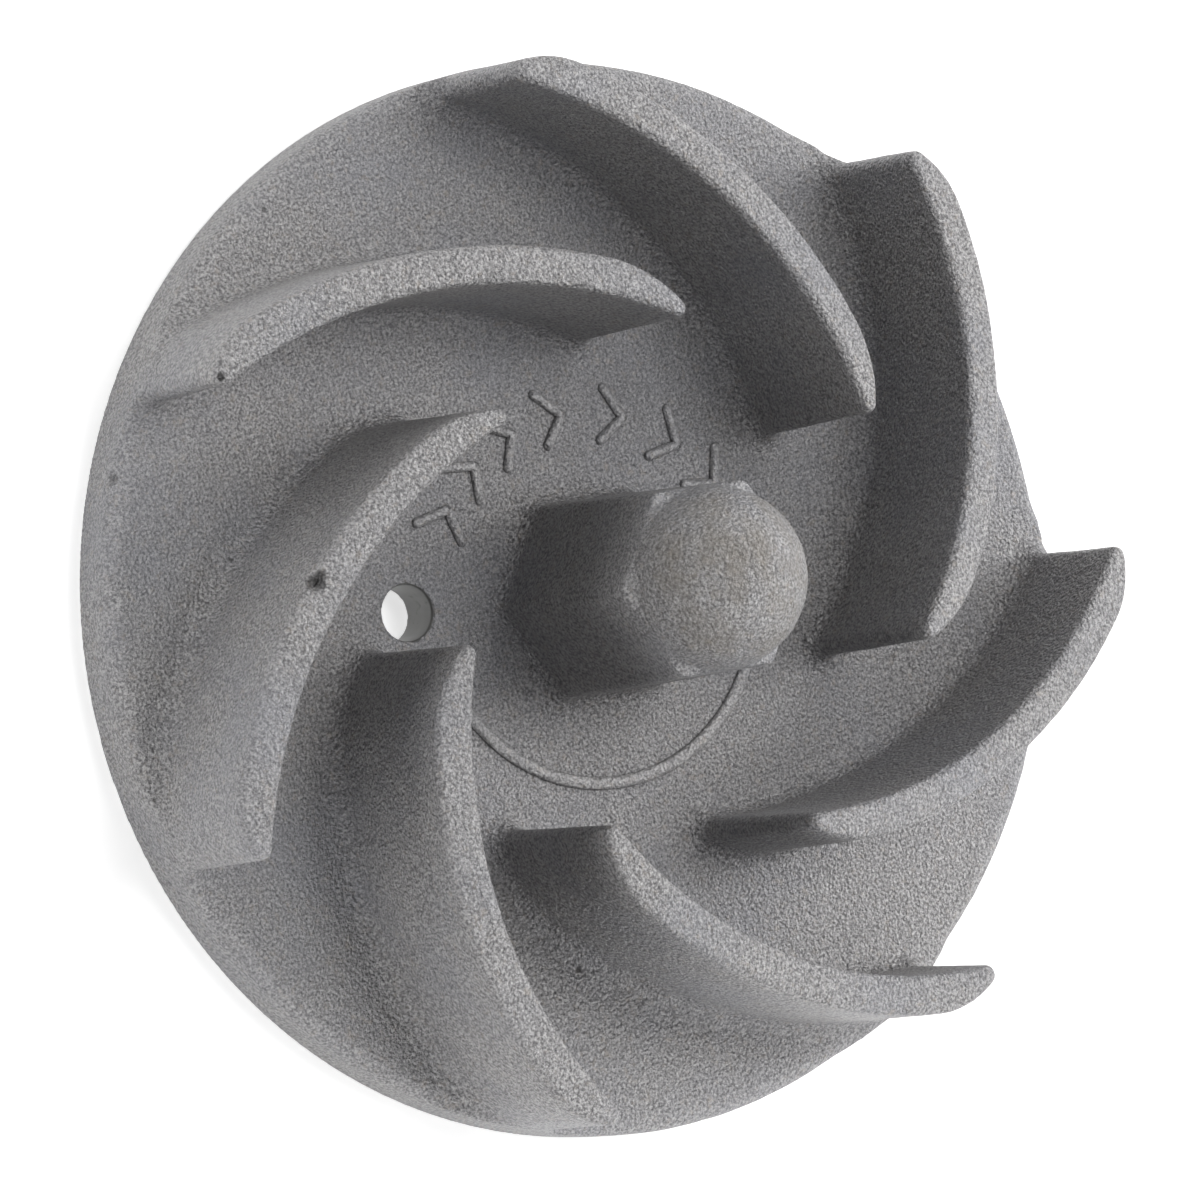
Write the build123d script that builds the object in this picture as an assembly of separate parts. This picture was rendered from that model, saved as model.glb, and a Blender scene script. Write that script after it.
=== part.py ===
"""Semi-open pump impeller, cast in one piece.

A flat web carries seven backward-curved vanes and, in the middle, a hexagonal
nose for the spanner that screws the impeller onto its shaft. The thread is
blind and runs up inside the nose from the hub face at the back.

Frame: millimetres, +Z along the shaft towards the pump inlet, Z = 0 on the
back of the rim and hub, where the casting rests. The X axis points at the
outer tip of the first vane.
"""

import os
from math import acos, atan2, cos, degrees, pi, radians, sin, sqrt, tan

from build123d import *

# --- driving dimensions -----------------------------------------------------

# web: the disc that closes the back of the passages
outer_diameter = 152.4
web_thickness = 9.6
back_edge_chamfer = 0.8
rim_round = 2.5              # front corner of the rim, between the vanes
rim_round_bite = 2.49        # from each face to the centre of the rounding
rim_round_lead = 7.0         # degrees of rim from a vane's tip to the full rounding
rim_round_tail = 13.2        # degrees from there to the tip of the next vane
rim_runout_radius = 8.0      # the rounding dies away near a vane along this arc
rim_runout_sweep = 48.0      # degrees about the centre of that arc

# vanes: both faces are arcs about one centre, so the thickness stays the same
vane_count = 7
vane_thickness = 5.3         # at the open edge
vane_arc_radius = 72.7       # to the middle of the thickness
vane_arc_reach = 33.6        # from the shaft axis to that middle, where it comes nearest
arc_centre_lead = 69.4       # degrees from the outer tip round to the arc centre
vane_draft = 1.3             # each side
vane_foot_fillet = 3.2
vane_edge_round = 1.0
tip_round = 1.3              # where the hollow face of a vane meets its outer end
tip_blend = 13.0             # long curve from the outer face round to that end
inlet_diameter = 73.6        # circle that the leading edges start from
nose_round = 1.2             # small radius right at the leading edge
nose_taper_radius = 20.0     # long curve that brings the outer face in to it
nose_taper_sweep = 9.1       # degrees about the arc centre that this curve takes

# the cone that the open edges of the vanes lie on
vane_height_at_inlet = 30.8
front_cone_angle = 12.3

# hexagonal nose with its domed end
hex_across_flats = 25.8      # at the top corners
hex_height = 34.3            # from the web to the top corners
hex_draft = 1.4
hex_lead = 20.5              # degrees from X to the first corner
hex_corner_round = 1.0
hex_foot_fillet = 3.2
dome_ledge = 0.1             # left between the dome and the middle of a flat

# raised arc cast on the front of the web
bead_radius = 26.5
bead_width = 1.9
bead_height = 0.7
bead_start = 106.0           # degrees from X
bead_sweep = 132.0

# hole drilled through the web
web_hole_diameter = 8.0
web_hole_pitch_radius = 29.8
web_hole_lead = 77.4

# back of the web: a shallow turned recess between the rim and the hub
recess_depth = 1.6
rim_land_width = 7.0
hub_diameter = 44.0
recess_corner_round = 1.0

# blind thread for the shaft, up inside the nose: 5/8-18, at its minor diameter
thread_minor_diameter = 14.5
thread_depth = 34.0
drill_point_half_angle = 59.0
bore_mouth_chamfer = 1.2

# --- worked out ---------------------------------------------------------------

outer_radius = outer_diameter / 2
inlet_radius = inlet_diameter / 2
vane_pitch = 360 / vane_count
vane_end_radius = outer_radius - vane_height_at_inlet * tan(radians(vane_draft))
arc_centre_radius = vane_arc_radius - vane_arc_reach
cone_slope = tan(radians(front_cone_angle))
vane_top_at_inlet = web_thickness + vane_height_at_inlet
cone_apex_height = vane_top_at_inlet + cone_slope * inlet_radius
dome_radius = hex_across_flats / 2 - dome_ledge
nose_top = web_thickness + hex_height + dome_radius
root = 1.0                   # how deep a raised shape is let into the web
overrun = 6.0                # how far a raw shape passes the face that trims it
web_flatness = 0.002         # how nearly level an edge on the web must be


def polar(radius, angle):
    """A point of the XY plane, from a radius and an angle in degrees."""
    return Vector(radius * cos(radians(angle)), radius * sin(radians(angle)))


axis = Vector(0, 0)
arc_centre = polar(arc_centre_radius, arc_centre_lead)


def about_arc_centre(radius, angle):
    """The same, measured from the centre of the first vane's arcs."""
    return arc_centre + polar(radius, angle)


def angle_where(vane_radius, axis_radius):
    """Angle about the arc centre where a vane arc crosses a circle about the axis."""
    cosine = axis_radius**2 + arc_centre_radius**2 - vane_radius**2
    cosine = cosine / (2 * axis_radius * arc_centre_radius)
    offset = polar(axis_radius, arc_centre_lead - degrees(acos(cosine))) - arc_centre
    return degrees(atan2(offset.Y, offset.X))


def crossing(centre_a, radius_a, centre_b, radius_b):
    """Where two circles cross, to the right of the line from centre a to centre b."""
    line = centre_b - centre_a
    along = (radius_a**2 - radius_b**2 + line.length**2) / (2 * line.length)
    across = sqrt(radius_a**2 - along**2)
    direction = line.normalized()
    return centre_a + direction * along + Vector(direction.Y, -direction.X) * across


def towards(start, target, distance):
    """The point at a distance from start, on the ray through target."""
    return start + (target - start).normalized() * distance


# --- shapes ---------------------------------------------------------------------


def arc_about(centre, start, stop):
    """Arc about a centre from start to stop, the short way round."""
    radius = (start - centre).length
    return ThreePointArc(start, towards(centre, (start + stop) / 2, radius), stop)


def vane_plan(growth):
    """Outline of the first vane, with every face moved out by growth."""
    inner_face = vane_arc_radius - vane_thickness / 2
    outer_face = vane_arc_radius + vane_thickness / 2

    # leading edge: a small nose between the hollow face and the taper
    leading = angle_where(inner_face, inlet_radius)
    taper_start = leading + nose_taper_sweep
    taper_centre = about_arc_centre(outer_face - nose_taper_radius, taper_start)
    nose_reach = nose_taper_radius - nose_round
    nose_centre = crossing(arc_centre, inner_face + nose_round, taper_centre, nose_reach)
    nose_start = towards(arc_centre, nose_centre, inner_face - growth)
    nose_front = nose_centre - polar(nose_round + growth, leading + 90)
    nose_stop = towards(taper_centre, nose_centre, nose_taper_radius + growth)
    taper_stop = towards(arc_centre, taper_centre, outer_face + growth)

    # outer end: lies just inside the rim, sharp against the hollow face
    tip_centre = crossing(axis, vane_end_radius - tip_round, arc_centre, inner_face + tip_round)
    blend_centre = crossing(axis, vane_end_radius - tip_blend, arc_centre, outer_face - tip_blend)
    blend_start = towards(arc_centre, blend_centre, outer_face + growth)
    blend_stop = towards(axis, blend_centre, vane_end_radius + growth)
    tip_start = towards(axis, tip_centre, vane_end_radius + growth)
    tip_stop = towards(arc_centre, tip_centre, inner_face - growth)

    with BuildSketch() as sketch:
        with BuildLine():
            arc_about(arc_centre, taper_stop, blend_start)
            arc_about(blend_centre, blend_start, blend_stop)
            arc_about(axis, blend_stop, tip_start)
            arc_about(tip_centre, tip_start, tip_stop)
            arc_about(arc_centre, tip_stop, nose_start)
            ThreePointArc(nose_start, nose_front, nose_stop)
            arc_about(taper_centre, nose_stop, taper_stop)
        make_face()
    return sketch.sketch


def turned(*points):
    """A solid of revolution about Z from points given as radius and height."""
    with BuildPart() as part:
        with BuildSketch(Plane.XZ):
            with BuildLine():
                Polyline(*points, close=True)
            make_face()
        revolve(axis=Axis.Z)
    return part.part


def across(point):
    """Distance of a point from the shaft axis."""
    return sqrt(point.X**2 + point.Y**2)


def front_cone(reach):
    """Everything below the cone that the open edges of the vanes lie on."""
    rim_height = cone_apex_height - cone_slope * reach
    return turned((0, 0), (reach, 0), (reach, rim_height), (0, cone_apex_height))


def vane():
    """The first vane, drafted, cut to the front cone and rounded along its open edge."""
    top_plan = Pos(0, 0, vane_top_at_inlet + overrun) * vane_plan(-overrun * tan(radians(vane_draft)))
    height = vane_height_at_inlet + overrun + root
    raw = extrude(top_plan, -height, taper=-vane_draft)
    trimmed = raw & front_cone(outer_radius + 2 * overrun)
    open_edges = [
        edge
        for edge in trimmed.edges()
        if edge.bounding_box().min.Z > web_thickness + overrun
    ]
    return fillet(open_edges, vane_edge_round)


def corner_waste(sense):
    """Section of the metal outside the rim rounding; sense -1 turns it about."""
    centre = Vector(-sense * rim_round_bite, web_thickness - rim_round_bite)
    reach = sqrt(rim_round**2 - rim_round_bite**2)
    middle = centre + Vector(sense * rim_round, rim_round) * cos(pi / 4)
    low = Vector(0, centre.Y + reach)
    high = Vector(centre.X + sense * reach, web_thickness)
    top = web_thickness + vane_foot_fillet
    with BuildSketch(Plane.XZ) as sketch:
        with BuildLine():
            ThreePointArc(low, middle, high)
            Polyline(
                high,
                (high.X, top),
                (sense * overrun, top),
                (sense * overrun, low.Y),
                low,
            )
        make_face()
    return sketch.sketch


def rim_cutter():
    """Waste round the front corner of the rim, from the first vane to the next."""
    start = rim_round_lead
    stop = vane_pitch - rim_round_tail
    full = revolve(Pos(outer_radius, 0, 0) * corner_waste(1), Axis.Z, stop - start)
    fade = revolve(Pos(rim_runout_radius, 0, 0) * corner_waste(-1), Axis.Z, rim_runout_sweep)
    fade_centre = Pos(outer_radius + rim_runout_radius, 0, 0)
    first_fade = Rot(0, 0, start) * fade_centre * Rot(0, 0, 180) * fade
    last_fade = Rot(0, 0, stop) * fade_centre * Rot(0, 0, 180 - rim_runout_sweep) * fade
    return Rot(0, 0, start) * full + first_fade + last_fade


def hexagonal_nose():
    """Drafted hexagon for the spanner, with its domed end."""
    height = hex_height + root
    widening = height * tan(radians(hex_draft))
    with BuildSketch() as sketch:
        RegularPolygon(hex_across_flats / 2 + widening, 6, major_radius=False, rotation=hex_lead)
        fillet(sketch.vertices(), hex_corner_round + widening)
    prism = extrude(Pos(0, 0, web_thickness - root) * sketch.sketch, height, taper=hex_draft)
    return prism + Pos(0, 0, web_thickness + hex_height) * Sphere(dome_radius)


def bead():
    """Low half-round arc with rounded ends."""
    crown = (bead_width**2 / 4 + bead_height**2) / (2 * bead_height)
    place = Pos(bead_radius, 0, web_thickness + bead_height - crown)
    arc = revolve(place * Rot(90, 0, 0) * Circle(crown), Axis.Z, bead_sweep)
    end = place * Sphere(crown)
    return Rot(0, 0, bead_start) * (arc + end + Rot(0, 0, bead_sweep) * end)


def back_recess():
    """Waste between the rim land and the hub face."""
    hub_radius = hub_diameter / 2
    land_radius = outer_radius - rim_land_width
    ring = turned(
        (hub_radius, -overrun),
        (land_radius, -overrun),
        (land_radius, recess_depth),
        (hub_radius, recess_depth),
    )
    return fillet(ring.edges().group_by(Axis.Z)[-1], recess_corner_round)


def thread_bore():
    """Waste of the blind tapping hole, with its countersunk mouth."""
    bore_radius = thread_minor_diameter / 2
    mouth_radius = bore_radius + bore_mouth_chamfer
    point_depth = bore_radius / tan(radians(drill_point_half_angle))
    return turned(
        (0, -overrun),
        (mouth_radius + overrun, -overrun),
        (bore_radius, bore_mouth_chamfer),
        (bore_radius, thread_depth),
        (0, thread_depth + point_depth),
    )


def rests_on_web(edge):
    """Whether an edge lies flat on the front of the web, inside its raw outside."""
    box = edge.bounding_box()
    low = abs(box.min.Z - web_thickness)
    high = abs(box.max.Z - web_thickness)
    return max(low, high) < web_flatness and across(edge @ 0.5) < outer_radius + root


# --- the casting ------------------------------------------------------------------

web = Pos(0, 0, web_thickness / 2) * Cylinder(outer_radius + overrun, web_thickness)
core = web + hexagonal_nose()
casting = fillet(core.edges().filter_by(rests_on_web), hex_foot_fillet)

first_vane = vane()
for index in range(vane_count):
    casting += Rot(0, 0, index * vane_pitch) * first_vane
vane_foot = [
    edge
    for edge in casting.edges().filter_by(rests_on_web)
    if across(edge @ 0.5) > hex_across_flats
]
casting = fillet(vane_foot, vane_foot_fillet)
casting &= turned(
    (0, 0),
    (outer_radius - back_edge_chamfer, 0),
    (outer_radius, back_edge_chamfer),
    (outer_radius, nose_top + overrun),
    (0, nose_top + overrun),
)

rim_waste = rim_cutter()
for index in range(vane_count):
    casting -= Rot(0, 0, index * vane_pitch) * rim_waste

casting += bead()

# machined afterwards: the web hole, the back face and the thread
web_hole = Cylinder(web_hole_diameter / 2, 2 * web_thickness + overrun)
casting -= Pos(*polar(web_hole_pitch_radius, web_hole_lead)) * web_hole
casting -= back_recess()
casting -= thread_bore()

os.makedirs("parts", exist_ok=True)
export_step(casting.solid(), "parts/impeller.step")
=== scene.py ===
"""Pump impeller, dressed: a shot-blasted casting with turned back faces and a threaded hub.

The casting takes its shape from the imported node, gains the raised marks, the pits and the uneven
skin of a sand casting, and gets its cast and turned finishes. The thread is a piece of its own.
"""

import logging
import math
from dataclasses import dataclass
from enum import Enum
from typing import Sequence

import bmesh
import bpy
from mathutils import Matrix, Vector, noise


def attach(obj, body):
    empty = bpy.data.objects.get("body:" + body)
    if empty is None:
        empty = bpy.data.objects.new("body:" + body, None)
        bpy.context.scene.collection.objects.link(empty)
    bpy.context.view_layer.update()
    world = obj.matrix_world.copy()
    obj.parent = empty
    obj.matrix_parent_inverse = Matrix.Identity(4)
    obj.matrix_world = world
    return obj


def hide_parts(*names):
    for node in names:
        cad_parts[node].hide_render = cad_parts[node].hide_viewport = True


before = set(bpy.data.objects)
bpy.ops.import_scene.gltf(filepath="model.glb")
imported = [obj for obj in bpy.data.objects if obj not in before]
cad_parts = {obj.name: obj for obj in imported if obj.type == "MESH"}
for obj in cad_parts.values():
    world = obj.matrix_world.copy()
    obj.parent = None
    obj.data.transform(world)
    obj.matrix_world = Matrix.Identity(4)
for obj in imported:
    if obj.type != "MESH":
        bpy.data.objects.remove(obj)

MM = 0.001
WEB_TOP = 9.6 * MM
BEAD_RADIUS = 26.5 * MM
RIM_CARD = {"width": 0.15, "height": 0.06, "distance": 0.2, "lift": 0.035}
log = logging.getLogger("impeller")


class Surface(Enum):
    """The finishes a face of the casting can have, numbered as its material slots."""

    CAST = 0
    TURNED = 1
    DRILLED = 2


def polar(radius: float, angle: float, height: float = 0.0) -> Vector:
    """A point from its distance to the shaft axis, its angle and its height.

    Args:
        radius: distance from the shaft axis, in metres.
        angle: degrees from the X axis, anticlockwise seen from the inlet.
        height: height above the back face, in metres.

    Returns:
        The point in the part's frame.
    """
    turn = math.radians(angle)
    return Vector((radius * math.cos(turn), radius * math.sin(turn), height))


def smooth_step(low: float, high: float, value: float) -> float:
    """A soft step from 0 at low to 1 at high.

    Args:
        low: where the step starts.
        high: where it ends.
        value: the number to place on it.

    Returns:
        A number from 0 to 1.
    """
    share = min(1.0, max(0.0, (value - low) / (high - low)))
    return share * share * (3.0 - 2.0 * share)


class NodeSketch:
    """A small helper that lays out one material's nodes from left to right."""

    def __init__(self, name: str) -> None:
        """Starts an empty material.

        Args:
            name: the material's name.
        """
        self.material = bpy.data.materials.new(name)
        self.material.use_nodes = True
        self.tree = self.material.node_tree
        self.tree.nodes.clear()
        self.column = 0

    def add(self, kind: str, **settings: object) -> bpy.types.Node:
        """Adds one node and applies its settings.

        Args:
            kind: the node's type name.
            **settings: attributes of the node.

        Returns:
            The new node.
        """
        node = self.tree.nodes.new(kind)
        node.location = (220 * self.column, 0)
        self.column += 1
        for key, value in settings.items():
            setattr(node, key, value)
        return node

    def link(self, source: bpy.types.NodeSocket, target: bpy.types.NodeSocket) -> None:
        """Joins an output socket to an input socket."""
        self.tree.links.new(source, target)

    def noise(self, place: bpy.types.NodeSocket, scale: float, detail: float = 3.0,
              roughness: float = 0.55) -> bpy.types.NodeSocket:
        """Adds a noise pattern.

        Args:
            place: the coordinates to read it at.
            scale: features per metre.
            detail: octaves.
            roughness: how strong the finer octaves are.

        Returns:
            The pattern's value, from 0 to 1.
        """
        node = self.add("ShaderNodeTexNoise")
        node.inputs["Scale"].default_value = scale
        node.inputs["Detail"].default_value = detail
        node.inputs["Roughness"].default_value = roughness
        self.link(place, node.inputs["Vector"])
        return node.outputs["Fac"]

    def cells(self, place: bpy.types.NodeSocket, scale: float) -> bpy.types.NodeSocket:
        """Adds a pattern of rounded cells.

        Args:
            place: the coordinates to read it at.
            scale: cells per metre.

        Returns:
            The distance to the nearest cell's point, smoothed.
        """
        node = self.add("ShaderNodeTexVoronoi", feature="SMOOTH_F1")
        node.inputs["Scale"].default_value = scale
        self.link(place, node.inputs["Vector"])
        return node.outputs["Distance"]

    def remap(self, value: bpy.types.NodeSocket, low: float, high: float, to_low: float = 0.0,
              to_high: float = 1.0) -> bpy.types.NodeSocket:
        """Stretches a value from one range to another and clamps it.

        Args:
            value: the value to stretch.
            low: start of its range.
            high: end of its range.
            to_low: what low becomes.
            to_high: what high becomes.

        Returns:
            The stretched value.
        """
        node = self.add("ShaderNodeMapRange")
        for name, number in (("From Min", low), ("From Max", high), ("To Min", to_low),
                             ("To Max", to_high)):
            node.inputs[name].default_value = number
        self.link(value, node.inputs["Value"])
        return node.outputs["Result"]

    def blend(self, share: bpy.types.NodeSocket, first: object,
              second: object) -> bpy.types.NodeSocket:
        """Mixes two colours.

        Args:
            share: how much of the second colour shows.
            first: a colour or a colour socket.
            second: a colour or a colour socket.

        Returns:
            The mixed colour.
        """
        node = self.add("ShaderNodeMix", data_type="RGBA")
        self.link(share, node.inputs["Factor"])
        for socket, colour in ((node.inputs["A"], first), (node.inputs["B"], second)):
            if isinstance(colour, tuple):
                socket.default_value = (*colour, 1.0)
            else:
                self.link(colour, socket)
        return node.outputs["Result"]

    def sum(self, first: bpy.types.NodeSocket, second: bpy.types.NodeSocket,
            operation: str = "ADD") -> bpy.types.NodeSocket:
        """Combines two values.

        Args:
            first: one value.
            second: the other value.
            operation: ADD, MULTIPLY or another operation of the math node.

        Returns:
            The combined value.
        """
        node = self.add("ShaderNodeMath", operation=operation)
        self.link(first, node.inputs[0])
        self.link(second, node.inputs[1])
        return node.outputs["Value"]

    def scaled(self, value: bpy.types.NodeSocket, factor: float) -> bpy.types.NodeSocket:
        """Multiplies a value by a number."""
        node = self.add("ShaderNodeMath", operation="MULTIPLY")
        self.link(value, node.inputs[0])
        node.inputs[1].default_value = factor
        return node.outputs["Value"]

    def finish(self, colour: bpy.types.NodeSocket, roughness: bpy.types.NodeSocket,
               height: bpy.types.NodeSocket, depth: float, metallic: float,
               strength: float = 1.0) -> bpy.types.Material:
        """Closes the material with a metal shader and a bump.

        Args:
            colour: the surface's colour.
            roughness: the surface's roughness.
            height: the relief, from 0 to 1.
            depth: how deep the relief is, in metres.
            metallic: how metallic the surface is.
            strength: how strongly the relief turns the light.

        Returns:
            The finished material.
        """
        bump = self.add("ShaderNodeBump")
        bump.inputs["Distance"].default_value = depth
        bump.inputs["Strength"].default_value = strength
        self.link(height, bump.inputs["Height"])
        shader = self.add("ShaderNodeBsdfPrincipled")
        shader.inputs["Metallic"].default_value = metallic
        self.link(colour, shader.inputs["Base Color"])
        self.link(roughness, shader.inputs["Roughness"])
        self.link(bump.outputs["Normal"], shader.inputs["Normal"])
        output = self.add("ShaderNodeOutputMaterial")
        self.link(shader.outputs["BSDF"], output.inputs["Surface"])
        return self.material


@dataclass(frozen=True)
class Pit:
    """A small hollow that gas or sand left in the casting."""

    place: tuple[float, float, float]
    width: float
    depth: float = 0.0
    # How much painted shade fills the pit's inside, from 0 to 1.
    painted_shade_share: float = 0.9

    def centre(self) -> Vector:
        """Its middle, in metres."""
        return Vector(self.place) * MM


@dataclass(frozen=True)
class CastFinish:
    """Sand-cast iron, shot-blasted: fine dull grain, faint stains and specks, painted shade in
    crevices and pits.
    """

    pits: Sequence[Pit] = ()
    dark: tuple[float, float, float] = (0.135, 0.132, 0.135)
    light: tuple[float, float, float] = (0.455, 0.447, 0.447)
    cool: tuple[float, float, float] = (0.235, 0.245, 0.280)
    warm: tuple[float, float, float] = (0.370, 0.325, 0.275)
    # Darker warm tone of the nose: part wear, part painted shade.
    nose_wear_and_shade: tuple[float, float, float] = (0.200, 0.178, 0.145)
    # Near-black colour of the painted shade laid into crevices and pits.
    painted_shade_colour: tuple[float, float, float] = (0.010, 0.009, 0.008)
    metallic: float = 0.3
    grain_depth: float = 0.0006
    crevice_reach: float = 0.9 * MM
    name: str = "cast_iron_skin"
    worn_shaded_nose_from: float = 44.0 * MM
    ragged: float = 0.9 * MM

    def pit_mask(self, sketch: NodeSketch, place: bpy.types.NodeSocket) -> bpy.types.NodeSocket:
        """Paints shade into the insides of the pits.

        Args:
            sketch: the material being laid out.
            place: the object's own coordinates.

        Returns:
            A value that rises to each pit's share of painted shade inside it.
        """
        ragged = sketch.add("ShaderNodeTexNoise")
        ragged.inputs["Scale"].default_value = 900.0
        sketch.link(place, ragged.inputs["Vector"])
        shift = sketch.add("ShaderNodeVectorMath", operation="MULTIPLY_ADD")
        shift.inputs[1].default_value = (self.ragged,) * 3
        sketch.link(ragged.outputs["Color"], shift.inputs[0])
        sketch.link(place, shift.inputs[2])
        mask = None
        for pit in self.pits:
            gap = sketch.add("ShaderNodeVectorMath", operation="DISTANCE")
            sketch.link(shift.outputs["Vector"], gap.inputs[0])
            gap.inputs[1].default_value = pit.centre() + Vector((self.ragged / 2,) * 3)
            spot = sketch.remap(gap.outputs["Value"], pit.width * 0.42, pit.width * 0.60,
                                pit.painted_shade_share, 0.0)
            mask = spot if mask is None else sketch.sum(mask, spot, "MAXIMUM")
        return mask

    def material(self) -> bpy.types.Material:
        """Builds the material.

        Returns:
            The cast surface's material.
        """
        sketch = NodeSketch(self.name)
        place = sketch.add("ShaderNodeTexCoord").outputs["Object"]
        grain = sketch.noise(place, 2200.0, 2.0, 0.6)
        bumps = sketch.cells(place, 1800.0)
        lumps = sketch.noise(place, 620.0, 2.0, 0.5)
        speckle = sketch.remap(sketch.noise(place, 2400.0, 2.0, 0.7), 0.36, 0.64)
        patches = sketch.remap(sketch.noise(place, 48.0, 3.0, 0.6), 0.42, 0.70, 0.0, 0.35)
        colour = sketch.blend(speckle, self.dark, self.light)
        colour = sketch.blend(patches, colour, self.cool)
        warm_spot = sketch.remap(sketch.noise(place, 800.0, 2.0, 0.6), 0.58, 0.74, 0.0, 0.35)
        colour = sketch.blend(warm_spot, colour, self.warm)
        split = sketch.add("ShaderNodeSeparateXYZ")
        sketch.link(place, split.inputs["Vector"])
        # The nose end turns a darker warm tone in patches: partly its real wear and tint, partly
        # painted shade on the dome.
        worn_shaded_nose = sketch.remap(split.outputs["Z"], self.worn_shaded_nose_from, self.worn_shaded_nose_from + 7 * MM)
        nose_wear_and_shade = sketch.remap(sketch.noise(place, 160.0, 3.0, 0.6), 0.35, 0.65, 0.0, 0.55)
        colour = sketch.blend(sketch.sum(worn_shaded_nose, nose_wear_and_shade, "MULTIPLY"), colour, self.nose_wear_and_shade)
        # Painted shade: crevices and concave corners darken towards the painted shade colour by the
        # ambient-occlusion node.
        corners = sketch.add("ShaderNodeAmbientOcclusion", samples=6)
        corners.inputs["Distance"].default_value = self.crevice_reach
        painted_crevice_shade = sketch.remap(corners.outputs["AO"], 0.40, 0.80, 0.75, 0.0)
        colour = sketch.blend(painted_crevice_shade, colour, self.painted_shade_colour)
        if self.pits:
            # Painted shade inside the pits.
            colour = sketch.blend(self.pit_mask(sketch, place), colour, self.painted_shade_colour)
        relief = sketch.sum(sketch.scaled(grain, 1.0), sketch.scaled(bumps, 0.5))
        relief = sketch.sum(relief, sketch.scaled(lumps, 0.8))
        roughness = sketch.remap(grain, 0.3, 0.7, 0.44, 0.60)
        return sketch.finish(colour, roughness, relief, self.grain_depth, self.metallic)


@dataclass(frozen=True)
class TurnedFinish:
    """Iron cut on a lathe: brighter, with fine rings about the shaft axis."""

    name: str = "turned_iron"
    dark: tuple[float, float, float] = (0.300, 0.300, 0.300)
    light: tuple[float, float, float] = (0.460, 0.458, 0.452)
    metallic: float = 0.9
    ring_pitch: float = 0.00028

    def material(self) -> bpy.types.Material:
        """Builds the material.

        Returns:
            The turned surface's material.
        """
        sketch = NodeSketch(self.name)
        place = sketch.add("ShaderNodeTexCoord").outputs["Object"]
        rings = sketch.add("ShaderNodeTexWave", wave_type="RINGS", rings_direction="Z")
        rings.inputs["Scale"].default_value = 1.0 / (self.ring_pitch * 20.0)
        rings.inputs["Distortion"].default_value = 0.6
        rings.inputs["Detail"].default_value = 2.0
        sketch.link(place, rings.inputs["Vector"])
        cloud = sketch.remap(sketch.noise(place, 60.0, 4.0, 0.6), 0.3, 0.7)
        pores = sketch.remap(sketch.noise(place, 900.0, 2.0, 0.5), 0.62, 0.75)
        colour = sketch.blend(cloud, self.dark, self.light)
        colour = sketch.blend(pores, colour, (0.12, 0.118, 0.115))
        roughness = sketch.remap(cloud, 0.0, 1.0, 0.30, 0.42)
        return sketch.finish(colour, roughness, rings.outputs["Fac"], 0.00002, self.metallic, 0.6)


@dataclass(frozen=True)
class FloorFinish:
    """A plain matt white floor that stays pale to the eye and keeps shadows."""

    colour: tuple[float, float, float] = (0.80, 0.80, 0.80)
    seen_glow: float = 0.62

    def material(self) -> bpy.types.Material:
        """Builds the material.

        Returns:
            The floor's material.
        """
        sketch = NodeSketch("white_floor")
        path = sketch.add("ShaderNodeLightPath")
        seen = sketch.sum(path.outputs["Is Camera Ray"], path.outputs["Is Glossy Ray"], "MAXIMUM")
        seen = sketch.sum(seen, path.outputs["Is Transmission Ray"], "MAXIMUM")
        diffuse = sketch.add("ShaderNodeBsdfDiffuse")
        diffuse.inputs["Color"].default_value = (*self.colour, 1.0)
        glow = sketch.add("ShaderNodeEmission")
        glow.inputs["Color"].default_value = (1.0, 1.0, 1.0, 1.0)
        sketch.link(sketch.scaled(seen, self.seen_glow), glow.inputs["Strength"])
        both = sketch.add("ShaderNodeAddShader")
        sketch.link(diffuse.outputs["BSDF"], both.inputs[0])
        sketch.link(glow.outputs["Emission"], both.inputs[1])
        output = sketch.add("ShaderNodeOutputMaterial")
        sketch.link(both.outputs["Shader"], output.inputs["Surface"])
        return sketch.material


def add_piece(name: str, mesh: bpy.types.Mesh, finish: bpy.types.Material) -> bpy.types.Object:
    """Makes a piece that is part of the casting.

    Args:
        name: the piece's name.
        mesh: its shape.
        finish: its material.

    Returns:
        The piece, riding on the casting's body.
    """
    for face in mesh.polygons:
        face.use_smooth = True
    mesh.materials.append(finish)
    obj = bpy.data.objects.new(name, mesh)
    bpy.context.collection.objects.link(obj)
    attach(obj, "root")
    return obj


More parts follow.
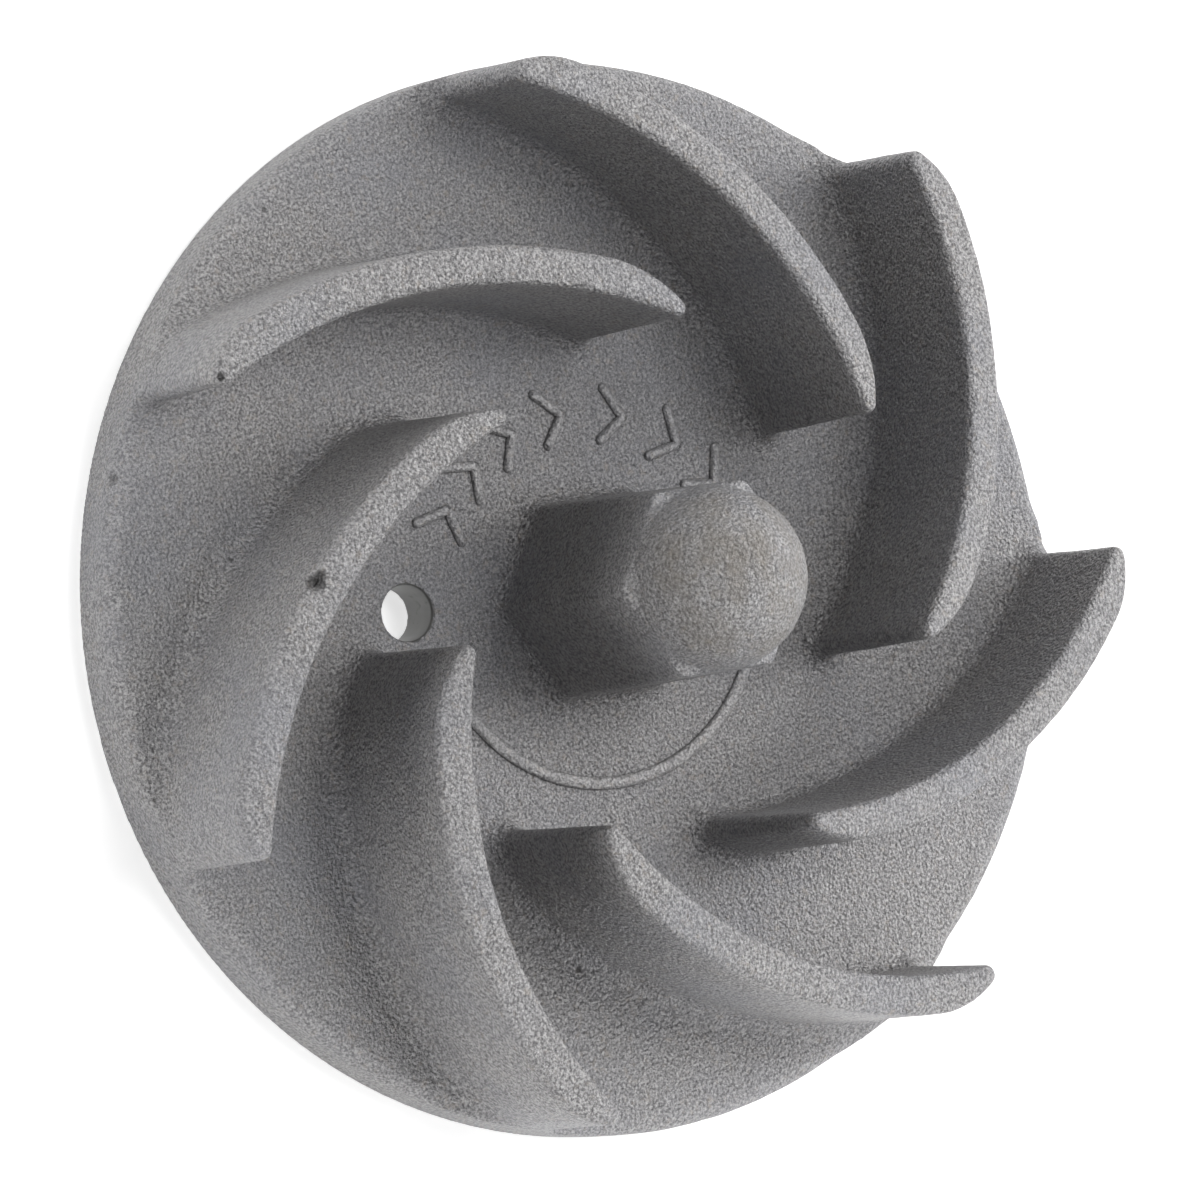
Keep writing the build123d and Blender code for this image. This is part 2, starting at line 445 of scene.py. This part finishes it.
@dataclass
class RaisedMarks:
    """Seven chevrons cast round the nose, pointing the way the impeller is screwed on."""

    finish: bpy.types.Material
    slot: str = "casting"
    angles: Sequence[float] = (49.0, 32.0, 15.0, -4.0, -26.0, -47.0, -65.0)
    radius: float = 26.0 * MM
    height: float = 7.4 * MM
    reach: float = 3.4 * MM
    stroke: float = 1.4 * MM
    lift: float = 0.12 * MM
    sides: int = 16

    def chevron(self, angle: float) -> list[Vector]:
        """The three corners of one chevron.

        Args:
            angle: degrees from the X axis to its middle.

        Returns:
            Its corners, from the outer end through the point to the inner end.
        """
        lead = math.degrees(self.reach / 2 / self.radius)
        level = WEB_TOP + self.lift
        outer = polar(self.radius + self.height / 2, angle + lead, level)
        point = polar(self.radius, angle - lead, level)
        inner = polar(self.radius - self.height / 2, angle + lead, level)
        return [outer, point, inner]

    def add_stroke(self, shape: bmesh.types.BMesh, start: Vector, stop: Vector) -> None:
        """Adds one round-ended stroke.

        Args:
            shape: the mesh to add to.
            start: one end of the stroke's axis.
            stop: its other end.
        """
        along = stop - start
        turn = Vector((0, 0, 1)).rotation_difference(along.normalized()).to_matrix().to_4x4()
        middle = Matrix.Translation((start + stop) / 2) @ turn
        bmesh.ops.create_cone(shape, cap_ends=False, segments=self.sides,
                              radius1=self.stroke / 2, radius2=self.stroke / 2,
                              depth=along.length, matrix=middle)
        for end in (start, stop):
            bmesh.ops.create_icosphere(shape, subdivisions=3, radius=self.stroke / 2,
                                       matrix=Matrix.Translation(end))

    def build(self) -> bpy.types.Object:
        """Makes the piece.

        Returns:
            The chevrons, let into the web.
        """
        shape = bmesh.new()
        for angle in self.angles:
            outer, point, inner = self.chevron(angle)
            self.add_stroke(shape, outer, point)
            self.add_stroke(shape, point, inner)
        mesh = bpy.data.meshes.new("raised_marks")
        shape.to_mesh(mesh)
        shape.free()
        return add_piece("raised_marks", mesh, self.finish)


@dataclass
class RaisedBead:
    """The arc cast on the web below the nose."""

    finish: bpy.types.Material
    slot: str = "casting"
    radius: float = BEAD_RADIUS
    half_width: float = 0.9 * MM
    height: float = 0.8 * MM
    root: float = 0.3 * MM
    start: float = 106.0
    sweep: float = 132.0
    steps: int = 150
    profile_steps: int = 12
    end_sweep: float = 3.0

    def build(self) -> bpy.types.Object:
        """Makes the piece.

        Returns:
            The bead, let into the web.
        """
        points = []
        faces = []
        across = self.profile_steps + 1
        for step in range(self.steps + 1):
            turned_by = self.sweep * step / self.steps
            from_end = min(turned_by, self.sweep - turned_by)
            share = 0.2 + 0.8 * math.sqrt(smooth_step(0.0, self.end_sweep, from_end))
            for side in range(across):
                turn = math.pi * side / self.profile_steps
                radius = self.radius + self.half_width * share * math.cos(turn)
                rise = self.height * share * math.sin(turn) ** 0.7 if 0 < side < across - 1 else 0
                level = WEB_TOP - self.root + (self.root + rise if rise else 0.0)
                points.append(polar(radius, self.start + turned_by, level))
        for step in range(self.steps):
            for side in range(self.profile_steps):
                low = step * across + side
                faces.append((low, low + 1, low + across + 1, low + across))
            low = step * across
            faces.append((low, low + across, low + 2 * across - 1, low + across - 1))
        faces.append(tuple(range(across)))
        faces.append(tuple(reversed(range(self.steps * across, (self.steps + 1) * across))))
        mesh = bpy.data.meshes.new("raised_bead")
        mesh.from_pydata(points, [], faces)
        shape = bmesh.new()
        shape.from_mesh(mesh)
        bmesh.ops.recalc_face_normals(shape, faces=shape.faces)
        shape.to_mesh(mesh)
        shape.free()
        return add_piece("raised_bead", mesh, self.finish)


@dataclass
class Casting:
    """The one-piece casting: web, vanes, nose and hub."""

    finish: bpy.types.Material
    node: str = "impeller"
    slot: str = "casting"
    skin_step: float = 0.43 * MM
    quick_step: float = 0.9 * MM
    smoothing: int = 3
    nose_smoothing: int = 12
    worn_from: float = 38.0 * MM
    worn_radius: float = 17.0 * MM
    unevenness: float = 0.10 * MM
    triangles: int = 190000
    recess_height: float = 1.6 * MM
    hub_bore: float = 7.25 * MM
    thread_root: float = 7.95 * MM
    bore_depth: float = 34.0 * MM
    hole_place: tuple[float, float] = (29.8 * MM, 77.4)
    hole_radius: float = 4.0 * MM
    bore_tolerance: float = 0.05 * MM
    cut_margin: float = 0.4 * MM
    bead_clear: float = 1.9 * MM
    bead_above: float = 1.2 * MM
    broad_scale: float = 110.0
    fine_scale: float = 430.0
    rim_from: float = 75.0 * MM
    pits: Sequence[Pit] = ()

    def raw_mesh(self) -> bpy.types.Mesh:
        """The node's shape with its bore opened to the thread's root.

        Returns:
            A closed mesh.
        """
        shape = bmesh.new()
        shape.from_mesh(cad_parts[self.node].data)
        bmesh.ops.remove_doubles(shape, verts=shape.verts, dist=1e-6)
        for vertex in shape.verts:
            across = math.hypot(vertex.co.x, vertex.co.y)
            on_bore = abs(across - self.hub_bore) < self.bore_tolerance
            if on_bore and vertex.co.z < self.bore_depth + MM:
                widen = self.thread_root / across
                vertex.co.x *= widen
                vertex.co.y *= widen
        mesh = bpy.data.meshes.new("impeller_casting")
        shape.to_mesh(mesh)
        shape.free()
        return mesh

    def skinned(self, obj: bpy.types.Object) -> None:
        """Casts the shapes of an object into one even skin with softened edges.

        Args:
            obj: the object whose mesh is replaced.
        """
        remesh = obj.modifiers.new("skin", "REMESH")
        remesh.mode = "VOXEL"
        remesh.voxel_size = self.skin_step
        self.apply_modifiers(obj)
        nose = obj.vertex_groups.new(name="nose_end")
        for vertex in obj.data.vertices:
            if vertex.co.z > self.worn_from and vertex.co.xy.length < self.worn_radius:
                share = smooth_step(self.worn_from, self.worn_from + 4 * MM, vertex.co.z)
                nose.add([vertex.index], share, "REPLACE")
        for group, iterations in (("", self.smoothing), (nose.name, self.nose_smoothing)):
            smooth = obj.modifiers.new("soften", "SMOOTH")
            smooth.factor = 0.5
            smooth.iterations = iterations
            smooth.vertex_group = group
        self.apply_modifiers(obj)

    def apply_modifiers(self, obj: bpy.types.Object) -> None:
        """Replaces an object's mesh by what its modifiers make of it."""
        depsgraph = bpy.context.evaluated_depsgraph_get()
        mesh = bpy.data.meshes.new_from_object(obj.evaluated_get(depsgraph))
        obj.modifiers.clear()
        obj.data = mesh

    def is_machined(self, point: Vector) -> bool:
        """Whether a point lies on a turned or drilled face."""
        across = math.hypot(point.x, point.y)
        at_back = point.z < self.recess_height + self.cut_margin
        in_bore = (across < self.thread_root + self.cut_margin
                   and point.z < self.bore_depth + 6 * MM)
        return at_back or in_bore or self.in_hole(point)

    def in_hole(self, point: Vector) -> bool:
        """Whether a point lies on the wall of the web hole."""
        centre = polar(*self.hole_place)
        return math.hypot(point.x - centre.x, point.y - centre.y) < self.hole_radius + 0.3 * MM

    def weather(self, mesh: bpy.types.Mesh) -> None:
        """Gives the cast faces their gentle unevenness and the pits their hollows.

        Args:
            mesh: the mesh whose vertices move.
        """
        normals = [vertex.normal.copy() for vertex in mesh.vertices]
        for vertex, normal in zip(mesh.vertices, normals):
            point = vertex.co
            if WEB_TOP < point.z < WEB_TOP + self.bead_above:
                if abs(point.xy.length - BEAD_RADIUS) < self.bead_clear:
                    vertex.co.z = WEB_TOP
                    normal = Vector((0.0, 0.0, 1.0))
            if self.is_machined(point):
                continue
            broad = noise.noise(point * self.broad_scale)
            fine = noise.noise(point * self.fine_scale + Vector((7.0, 3.0, 5.0)))
            push = self.unevenness * (0.75 * broad + 0.45 * fine)
            for pit in self.pits:
                near = (point - pit.centre()).length / (pit.width / 2)
                if near < 1.3:
                    push -= pit.depth * (1.0 - smooth_step(0.35, 1.3, near))
            vertex.co = point + normal * push

    def thin_out(self, obj: bpy.types.Object) -> None:
        """Reduces the mesh where it is flat, to its share of triangles."""
        count = sum(len(face.vertices) - 2 for face in obj.data.polygons)
        if count <= self.triangles:
            return
        decimate = obj.modifiers.new("thin_out", "DECIMATE")
        decimate.ratio = self.triangles / count
        self.apply_modifiers(obj)

    def dress(self, mesh: bpy.types.Mesh) -> None:
        """Gives each face its finish.

        Args:
            mesh: the casting's mesh.
        """
        mesh.materials.clear()
        mesh.materials.append(self.finish)
        mesh.materials.append(TurnedFinish().material())
        # The hole wall gets a darker copy of the turned finish: a drilled face, darkened as painted
        # shade in the hole.
        drilled_shaded = TurnedFinish(name="drilled_iron_shaded", dark=(0.10, 0.10, 0.10),
                               light=(0.27, 0.27, 0.262), metallic=0.4, ring_pitch=0.0002)
        mesh.materials.append(drilled_shaded.material())
        for face in mesh.polygons:
            face.use_smooth = True
            point = face.center
            if self.in_hole(point) and abs(face.normal.z) < 0.6:
                face.material_index = Surface.DRILLED.value
            elif self.is_machined(point) and not self.in_hole(point) and self.is_cut(face):
                face.material_index = Surface.TURNED.value
            else:
                face.material_index = Surface.CAST.value

    def is_cut(self, face: bpy.types.MeshPolygon) -> bool:
        """Whether a face at the back or in the bore was cut by the lathe, and isn't the rim."""
        across = math.hypot(face.center.x, face.center.y)
        return face.normal.z < -0.3 or across < self.rim_from

    def build(self) -> bpy.types.Object:
        """Makes the piece and hides the node it stands for.

        Returns:
            The finished piece.
        """
        obj = bpy.data.objects.new("impeller_casting", self.raw_mesh())
        bpy.context.collection.objects.link(obj)
        self.skinned(obj)
        self.weather(obj.data)
        self.thin_out(obj)
        self.dress(obj.data)
        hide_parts(self.node)
        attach(obj, "root")
        return obj


@dataclass
class HubThread:
    """The cut thread in the hub, 5/8-18, right hand."""

    slot: str = "casting"
    crest: float = 7.25 * MM
    root: float = 7.92 * MM
    sleeve: float = 8.6 * MM
    pitch: float = 1.411 * MM
    start: float = 0.9 * MM
    stop: float = 32.0 * MM
    around: int = 64
    per_pitch: int = 6

    def depth_at(self, turn: float, height: float) -> float:
        """The thread's radius at a place on the wall.

        Args:
            turn: angle about the axis, as a share of a full turn.
            height: height above the hub face.

        Returns:
            The radius, between the crest and the root.
        """
        phase = (height / self.pitch - turn) % 1.0
        ridge = min(1.0, max(0.0, 2.6 * abs(phase - 0.5) - 0.15))
        lead_in = smooth_step(self.start, self.start + self.pitch, height)
        return self.root - (self.root - self.crest) * ridge * lead_in

    def build(self) -> bpy.types.Object:
        """Makes the piece.

        Returns:
            A closed sleeve with the thread inside it.
        """
        shape = bmesh.new()
        rows = int((self.stop - self.start) / self.pitch * self.per_pitch)
        rings = []
        for row in range(rows + 1):
            height = self.start + (self.stop - self.start) * row / rows
            ring = []
            for step in range(self.around):
                turn = step / self.around
                ring.append(shape.verts.new(polar(self.depth_at(turn, height), 360 * turn, height)))
            rings.append(ring)
        for height in (self.stop, self.start):
            ring = []
            for step in range(self.around):
                ring.append(shape.verts.new(polar(self.sleeve, 360 * step / self.around, height)))
            rings.append(ring)
        for low, high in zip(rings, rings[1:] + rings[:1]):
            for step in range(self.around):
                after = (step + 1) % self.around
                shape.faces.new((low[after], low[step], high[step], high[after]))
        bmesh.ops.recalc_face_normals(shape, faces=shape.faces)
        mesh = bpy.data.meshes.new("hub_thread")
        shape.to_mesh(mesh)
        shape.free()
        return add_piece("hub_thread", mesh, TurnedFinish("cut_thread").material())


@dataclass(frozen=True)
class SoftBox:
    """A soft rectangular lamp that faces the shaft axis."""

    name: str
    rise: float
    bearing: float
    power: float
    width: float = 0.6
    height: float = 0.6
    distance: float = 1.4
    lift: float = 0.0

    def build(self) -> bpy.types.Object:
        """Hangs the lamp.

        Returns:
            The lamp.
        """
        flat = math.cos(math.radians(self.rise))
        towards = polar(flat, self.bearing, math.sin(math.radians(self.rise)))
        lamp = bpy.data.lights.new(self.name, "AREA")
        lamp.shape = "RECTANGLE"
        lamp.size = self.width
        lamp.size_y = self.height
        lamp.energy = self.power
        obj = bpy.data.objects.new(self.name, lamp)
        obj.location = towards * self.distance + Vector((0.0, 0.0, self.lift))
        obj.rotation_euler = towards.to_track_quat("Z", "Y").to_euler()
        obj.visible_camera = False
        bpy.context.collection.objects.link(obj)
        return obj


@dataclass
class Studio:
    """The pale floor, the soft lamps and the camera."""

    floor_half: float = 6.0
    eye: tuple[float, float, float] = (0.0965, 0.5595, 1.0065)
    right: tuple[float, float, float] = (-0.2892, -0.8221, 0.4904)
    up: tuple[float, float, float] = (0.9535, -0.2928, 0.0715)
    focal_length: float = 243.55
    sensor: float = 36.0
    lamps: Sequence[SoftBox] = (
        SoftBox("top_lamp_1", 75.0, 300.0, 9.8),
        SoftBox("top_lamp_2", 75.0, 210.0, 1.9),
        SoftBox("side_lamp", 45.0, 260.0, 5.1),
        SoftBox("low_lamp_1", 22.0, 225.0, 3.1, height=0.4),
        SoftBox("low_lamp_2", 22.0, 270.0, 6.4, height=0.4),
        SoftBox("low_lamp_3", 22.0, 315.0, 2.0, height=0.4),
        SoftBox("rim_card_1", 0.0, 0.0, 0.026, **RIM_CARD),
        SoftBox("rim_card_2", 0.0, 45.0, 0.054, **RIM_CARD),
        SoftBox("rim_card_3", 0.0, 90.0, 0.066, **RIM_CARD),
        SoftBox("rim_card_4", 0.0, 135.0, 0.046, **RIM_CARD),
        SoftBox("rim_card_5", 0.0, 180.0, 0.075, **RIM_CARD),
    )

    def floor(self) -> bpy.types.Object:
        """Makes the floor.

        Returns:
            The floor.
        """
        mesh = bpy.data.meshes.new("floor")
        half = self.floor_half
        corners = [(-half, -half, 0), (half, -half, 0), (half, half, 0), (-half, half, 0)]
        mesh.from_pydata(corners, [], [(0, 1, 2, 3)])
        mesh.materials.append(FloorFinish().material())
        obj = bpy.data.objects.new("floor", mesh)
        bpy.context.collection.objects.link(obj)
        return obj

    def world(self) -> None:
        """Sets a world that gives no light of its own, white where it is seen or mirrored."""
        world = bpy.data.worlds.new("studio")
        world.use_nodes = True
        tree = world.node_tree
        background = tree.nodes["Background"]
        background.inputs["Color"].default_value = (1.0, 1.0, 1.0, 1.0)
        path = tree.nodes.new("ShaderNodeLightPath")
        reach = tree.nodes.new("ShaderNodeMapRange")
        reach.inputs["To Min"].default_value = 0.0
        reach.inputs["To Max"].default_value = 1.0
        seen = path.outputs["Is Camera Ray"]
        for ray in ("Is Glossy Ray", "Is Transmission Ray"):
            either = tree.nodes.new("ShaderNodeMath")
            either.operation = "MAXIMUM"
            tree.links.new(seen, either.inputs[0])
            tree.links.new(path.outputs[ray], either.inputs[1])
            seen = either.outputs["Value"]
        tree.links.new(seen, reach.inputs["Value"])
        tree.links.new(reach.outputs["Result"], background.inputs["Strength"])
        bpy.context.scene.world = world

    def camera(self) -> bpy.types.Object:
        """Stands the camera up.

        Returns:
            The camera, set as the scene's own.
        """
        data = bpy.data.cameras.new("camera")
        data.lens = self.focal_length
        data.sensor_width = self.sensor
        data.clip_end = 50.0
        obj = bpy.data.objects.new("camera", data)
        right = Vector(self.right).normalized()
        back = right.cross(Vector(self.up)).normalized()
        up = back.cross(right)
        turn = Matrix((right, up, back)).transposed().to_4x4()
        obj.matrix_world = Matrix.Translation(self.eye) @ turn
        bpy.context.collection.objects.link(obj)
        bpy.context.scene.camera = obj
        return obj

    def build(self) -> None:
        """Sets up floor, light and camera."""
        self.floor()
        self.world()
        for lamp in self.lamps:
            lamp.build()
        self.camera()


def main() -> None:
    """Builds the pieces in order and reports each one."""
    logging.basicConfig(level=logging.INFO, format="%(name)s: %(message)s")
    bpy.context.scene.view_settings.view_transform = "Standard"
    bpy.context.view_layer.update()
    pits = (
        Pit((17.3, 55.2, 36.0), 3.0 * MM, 1.5 * MM, 1.0),
        Pit((47.1, 57.8, 32.0), 1.1 * MM, 0.7 * MM),
        Pit((-49.0, 19.7, 9.6), 0.9 * MM, 0.3 * MM, 0.6),
        Pit((66.1, 32.2, 9.6), 0.7 * MM, 0.2 * MM, 0.6),
        Pit((48.8, 16.0, 37.2), 1.4 * MM, 0.1 * MM, 0.25),
        Pit((56.1, -16.0, 9.9), 0.6 * MM, 0.1 * MM, 0.5),
        Pit((21.6, 53.4, 10.3), 0.7 * MM, 0.2 * MM, 0.6),
        Pit((37.2, 66.2, 8.2), 1.6 * MM, 0.3 * MM, 0.35),
        Pit((-24.7, -45.3, 9.6), 5.0 * MM, 0.35 * MM, 0.0),
    )
    finish = CastFinish(pits).material()
    # A lighter copy of the cast finish for the raised marks and bead: painted highlight on their
    # tops.
    proud_highlighted = CastFinish(dark=(0.20, 0.196, 0.198), light=(0.46, 0.452, 0.45), grain_depth=0.0004,
                       name="cast_iron_proud_highlighted").material()
    parts = (Casting(finish, pits=pits), RaisedMarks(proud_highlighted), RaisedBead(proud_highlighted), HubThread())
    for part in parts:
        piece = part.build()
        log.info("%s: %d faces", piece.name, len(piece.data.polygons))
    Studio().build()
    log.info("floor, lamps and camera are up")


if __name__ == "__main__":
    main()
